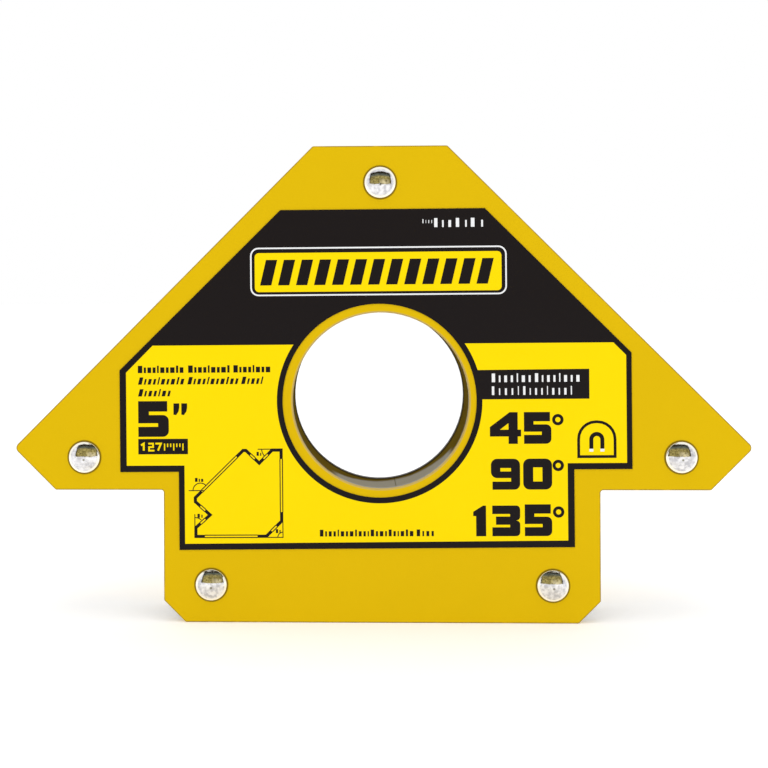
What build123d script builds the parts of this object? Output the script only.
from build123d import *
import os
from math import asin, cos, degrees, radians, sin, sqrt

# Arrow-shaped welding magnet holder, the 5 inch trade size.
#
# Two steel pole plates are held apart by ferrite blocks and riveted together through five
# spacer sleeves. A round liner closes the finger hole and two bent strips close the rim, both
# of them aluminium so that they don't short the magnets. A printed vinyl label lies on the front.
#
# Frame: X runs across, Y through the thickness with the labelled front towards -Y, and Z up.
# The origin is the middle of the foot, which is the edge that the holder stands on.

# ---- driving dimensions, in millimetres ----
WIDTH = 155.0  # from tip to tip
TOP_HALF = 14.2  # half of the flat at the top
TIP_Z = 36.9  # height of the side tips above the foot
TIP_RADIUS = 1.2
WING_Z = 28.0  # underside of the wings, one side of the 90 degree seats
STEM_HALF = 46.05  # half of the stem's width, the other side of the seats
FOOT_CHAMFER = 4.6
CORNER_RADIUS = 0.6  # every other corner of the outline

PLATE = 2.0  # thickness of each pole plate
GAP = 13.0  # between the plates, and so the length of all that stands between them
EDGE_EASE = 0.3  # rounding along the plates' cut edges

HOLE_Z = 46.9  # centre of the finger hole
HOLE_RADIUS = 18.6
LINER_STEP = 0.1  # the liner sits this much outside the plates' holes
LINER_WALL = 1.0
LINER_SEAM_WIDTH = 0.12
LINER_SEAM_ANGLE = -80.0  # degrees from +X: a little right of the lowest point

RIM_INSET = 1.0  # how far the rim strips sit inside the plates' edges
RIM_WALL = 1.0
RIM_BEND = 1.6  # outside radius of the strips' bends
RIM_SEAM = 0.3  # where the two strips meet, at the top and at the foot

RIVET_TOP_Z = 92.95
RIVET_WING = (62.9, 34.95)
RIVET_FOOT = (36.0, 7.95)
SHANK_RADIUS = 2.0
SHANK_PLAY = 0.05  # radial play of the shank in plates and sleeves
HEAD_RADIUS = 3.3
HEAD_HEIGHT = 1.35
HEAD_RIM = 0.35  # height of the head's rounded rim
HEAD_TUCK = 0.12  # the rim draws in this much where it meets the plate
TAIL_RADIUS = 3.1  # outside of the rolled tail
TAIL_HEIGHT = 1.35
TAIL_CREST = 2.3  # radius of the tail's highest ring
PIT_RADIUS = 1.3  # bore of the semi-tubular end
PIT_DEPTH = 1.0  # how far the bore runs on inside the back plate
SLEEVE_RADIUS = 3.5

MAGNET_CHAMFER = 0.5
SLOPE_MAGNET = (33.0, 20.0)  # along and across the 45 degree edges
SLOPE_MAGNET_INSET = 3.0  # from the 45 degree edge to the block
SLOPE_MAGNET_SPLIT = 12.0  # midway between the two blocks, measured down the slope
SLOPE_MAGNET_SPACE = 1.0  # left between the two blocks
STEM_MAGNET = (19.0, 25.0)
STEM_MAGNET_AT = (33.6, 25.6)
FOOT_MAGNET = (22.0, 20.0)
FOOT_MAGNET_AT = (12.0, 13.5)

# The label is measured from the centre of its own hole and was laid by hand, a touch off square
# and to the left of the finger hole.
LABEL_THICK = 0.15
LABEL_SHIFT = -0.3  # along X
LABEL_TURN = 0.3  # degrees, raising the right side
LABEL_HOLE = 20.45
LABEL_TOP = 40.4
LABEL_TOP_LEFT = 20.5
LABEL_TOP_RIGHT = 22.5
LABEL_LEFT = 55.0
LABEL_LEFT_TURN = 6.6  # where the left slope meets the left side
LABEL_RIGHT = 52.9
LABEL_RIGHT_TURN = 9.8
LABEL_STEP = 14.8  # below the hole's centre, where the label narrows
LABEL_STEM_LEFT = 42.5
LABEL_STEM_RIGHT = 40.75
LABEL_FOOT = 31.2  # below the hole's centre

# ---- derived places ----
FACE = GAP / 2 + PLATE  # from the middle plane to either outer face
TIP_X = WIDTH / 2 + TIP_RADIUS * (sqrt(2) - 1)  # the tip before it is rounded
HEIGHT = TIP_Z + TIP_X - TOP_HALF  # the upper sides run at 45 degrees
INNER_PLANE = Plane.XZ.offset(-GAP / 2)  # what stands between the plates is extruded from here
RIVETS = {
    "top": (0, RIVET_TOP_Z),
    "left_wing": (-RIVET_WING[0], RIVET_WING[1]),
    "right_wing": RIVET_WING,
    "left_foot": (-RIVET_FOOT[0], RIVET_FOOT[1]),
    "right_foot": RIVET_FOOT,
}
SIDES = {"left": -1, "right": 1}

os.makedirs("parts", exist_ok=True)


def save(piece, name):
    """Labels a finished piece and writes it as its own file."""
    piece.part.label = name
    export_step(piece.part, f"parts/{name}.step")


# ---- the holder's outline, drawn once with X across and Z up the page ----
right_corners = [
    (STEM_HALF - FOOT_CHAMFER, 0),
    (STEM_HALF, FOOT_CHAMFER),
    (STEM_HALF, WING_Z),
    (TIP_X - (TIP_Z - WING_Z), WING_Z),
    (TIP_X, TIP_Z),
    (TOP_HALF, HEIGHT),
]
left_corners = [(-x, z) for x, z in reversed(right_corners)]

with BuildSketch() as sharp_outline:
    with BuildLine():
        Polyline(*right_corners, *left_corners, close=True)
    make_face()

with BuildSketch() as outline:
    add(sharp_outline.sketch)
    fillet(outline.vertices().filter_by(lambda v: abs(v.X) < TIP_X - 1), CORNER_RADIUS)
    fillet(outline.vertices().filter_by(lambda v: abs(v.X) > TIP_X - 0.01), TIP_RADIUS)

with BuildSketch() as rim_section:
    offset(sharp_outline.sketch, amount=-RIM_INSET, kind=Kind.INTERSECTION, mode=Mode.ADD)
    fillet(rim_section.vertices(), RIM_BEND)
    offset(rim_section.sketch, amount=-RIM_WALL, mode=Mode.SUBTRACT)


# ---- pole plates ----
def pole_plate(plane):
    """One painted steel plate, extruded towards the front from the given plane."""
    with BuildPart() as plate:
        with BuildSketch(plane):
            add(outline.sketch)
            with Locations((0, HOLE_Z)):
                Circle(HOLE_RADIUS, mode=Mode.SUBTRACT)
            with Locations(*RIVETS.values()):
                Circle(SHANK_RADIUS + SHANK_PLAY, mode=Mode.SUBTRACT)
        extrude(amount=PLATE)
        broad_faces = plate.faces().filter_by(Axis.Y).sort_by(Axis.Y)
        outer_edges = broad_faces[0].outer_wire().edges() + broad_faces[-1].outer_wire().edges()
        hole_edges = plate.edges().filter_by(GeomType.CIRCLE).filter_by(
            lambda e: abs(e.radius - HOLE_RADIUS) < 0.01
        )
        exposed = hole_edges.sort_by(Axis.Y)[0 if plane is FRONT_PLANE else -1]
        fillet(outer_edges + [exposed], EDGE_EASE)
    return plate


FRONT_PLANE = Plane.XZ.offset(GAP / 2)
BACK_PLANE = Plane.XZ.offset(-FACE)
save(pole_plate(FRONT_PLANE), "front_plate")
save(pole_plate(BACK_PLANE), "back_plate")


# ---- liner of the finger hole, rolled from strip with an open butt seam ----
liner_inside = HOLE_RADIUS + LINER_STEP
seam_across = radians(LINER_SEAM_ANGLE)
with BuildPart() as hole_liner:
    with BuildSketch(INNER_PLANE):
        with Locations((0, HOLE_Z)):
            Circle(liner_inside + LINER_WALL)
            Circle(liner_inside, mode=Mode.SUBTRACT)
        seam_middle = liner_inside + LINER_WALL / 2
        seam_at = (seam_middle * cos(seam_across), HOLE_Z + seam_middle * sin(seam_across))
        with Locations(Location(seam_at, LINER_SEAM_ANGLE)):
            Rectangle(2 * LINER_WALL, LINER_SEAM_WIDTH, mode=Mode.SUBTRACT)
    extrude(amount=GAP)
save(hole_liner, "hole_liner")


# ---- rim strips, one bent round each half of the outline ----
for side, sign in SIDES.items():
    with BuildPart() as rim_strip:
        with BuildSketch(INNER_PLANE):
            add(rim_section.sketch)
            with Locations((sign * (RIM_SEAM / 2 - WIDTH / 2), HEIGHT / 2)):
                Rectangle(WIDTH, 2 * HEIGHT, mode=Mode.SUBTRACT)
        extrude(amount=GAP)
    save(rim_strip, f"{side}_rim_strip")


# ---- rivets: domed head in front, rolled semi-tubular tail behind, turned about their own axis ----
dome_rise = HEAD_HEIGHT - HEAD_RIM
dome_foot = HEAD_RADIUS - HEAD_TUCK
DOME_RADIUS = (dome_foot**2 + dome_rise**2) / (2 * dome_rise)
DOME_SWEEP = degrees(asin(dome_foot / DOME_RADIUS))

for spot, (rivet_x, rivet_z) in RIVETS.items():
    with BuildPart() as rivet:
        with BuildSketch(Plane((rivet_x, 0, rivet_z))):
            with BuildLine():
                dome = CenterArc((0, DOME_RADIUS - FACE - HEAD_HEIGHT), DOME_RADIUS, -90, DOME_SWEEP)
                rim = ThreePointArc(
                    dome @ 1, (HEAD_RADIUS, -FACE - HEAD_RIM / 2), (dome_foot, -FACE)
                )
                shank = Polyline(
                    rim @ 1, (SHANK_RADIUS, -FACE), (SHANK_RADIUS, FACE), (TAIL_RADIUS - 0.35, FACE)
                )
                tail = ThreePointArc(
                    shank @ 1, (TAIL_RADIUS, FACE + 0.4 * TAIL_HEIGHT), (TAIL_CREST, FACE + TAIL_HEIGHT)
                )
                mouth = ThreePointArc(
                    tail @ 1, (PIT_RADIUS + 0.3, FACE + 0.8 * TAIL_HEIGHT), (PIT_RADIUS, FACE)
                )
                Polyline(mouth @ 1, (PIT_RADIUS, FACE - PIT_DEPTH), (0, FACE - 1.4 * PIT_DEPTH), dome @ 0)
            make_face()
        revolve(axis=Axis((rivet_x, 0, rivet_z), (0, 1, 0)))
    save(rivet, f"rivet_{spot}")

    with BuildPart() as sleeve:
        with BuildSketch(INNER_PLANE):
            with Locations((rivet_x, rivet_z)):
                Circle(SLEEVE_RADIUS)
                Circle(SHANK_RADIUS + SHANK_PLAY, mode=Mode.SUBTRACT)
        extrude(amount=GAP)
    save(sleeve, f"spacer_sleeve_{spot}")


# ---- ferrite blocks, magnetised through their thickness ----
def magnet(name, centre, size, turn=0.0):
    """A block standing between the plates, turned in their plane by the given degrees."""
    with BuildPart() as block:
        with BuildSketch(INNER_PLANE):
            with Locations(Location((*centre, 0), (0, 0, turn))):
                Rectangle(*size)
        extrude(amount=GAP)
        chamfer(block.edges().filter_by(Axis.Y), MAGNET_CHAMFER)
    save(block, name)


# A block beside a slope: its centre lies in from the edge, and down the edge from the point
# that is square across from the hole's centre.
slope_sum = TOP_HALF + HEIGHT  # X + Z all along the right slope
slope_x = (slope_sum - HOLE_Z) / 2
slope_z = (slope_sum + HOLE_Z) / 2
block_depth = SLOPE_MAGNET_INSET + SLOPE_MAGNET[1] / 2
block_step = (SLOPE_MAGNET[0] + SLOPE_MAGNET_SPACE) / 2
for side, sign in SIDES.items():
    for level, down in (
        ("high", SLOPE_MAGNET_SPLIT - block_step),
        ("low", SLOPE_MAGNET_SPLIT + block_step),
    ):
        block_x = slope_x + (down - block_depth) / sqrt(2)
        block_z = slope_z - (down + block_depth) / sqrt(2)
        magnet(f"magnet_{side}_slope_{level}", (sign * block_x, block_z), SLOPE_MAGNET, -45 * sign)
    magnet(f"magnet_{side}_stem", (sign * STEM_MAGNET_AT[0], STEM_MAGNET_AT[1]), STEM_MAGNET)
    magnet(f"magnet_{side}_foot", (sign * FOOT_MAGNET_AT[0], FOOT_MAGNET_AT[1]), FOOT_MAGNET)


# ---- front label ----
turn = radians(LABEL_TURN)
label_plane = Plane(origin=(LABEL_SHIFT, -FACE, HOLE_Z), x_dir=(cos(turn), 0, sin(turn)), z_dir=(0, -1, 0))
with BuildPart() as front_label:
    with BuildSketch(label_plane):
        with BuildLine():
            Polyline(
                (-LABEL_TOP_LEFT, LABEL_TOP),
                (LABEL_TOP_RIGHT, LABEL_TOP),
                (LABEL_RIGHT, LABEL_RIGHT_TURN),
                (LABEL_RIGHT, -LABEL_STEP),
                (LABEL_STEM_RIGHT, -LABEL_STEP),
                (LABEL_STEM_RIGHT, -LABEL_FOOT),
                (-LABEL_STEM_LEFT, -LABEL_FOOT),
                (-LABEL_STEM_LEFT, -LABEL_STEP),
                (-LABEL_LEFT, -LABEL_STEP),
                (-LABEL_LEFT, LABEL_LEFT_TURN),
                close=True,
            )
        make_face()
        Circle(LABEL_HOLE, mode=Mode.SUBTRACT)
    extrude(amount=LABEL_THICK)
save(front_label, "front_label")
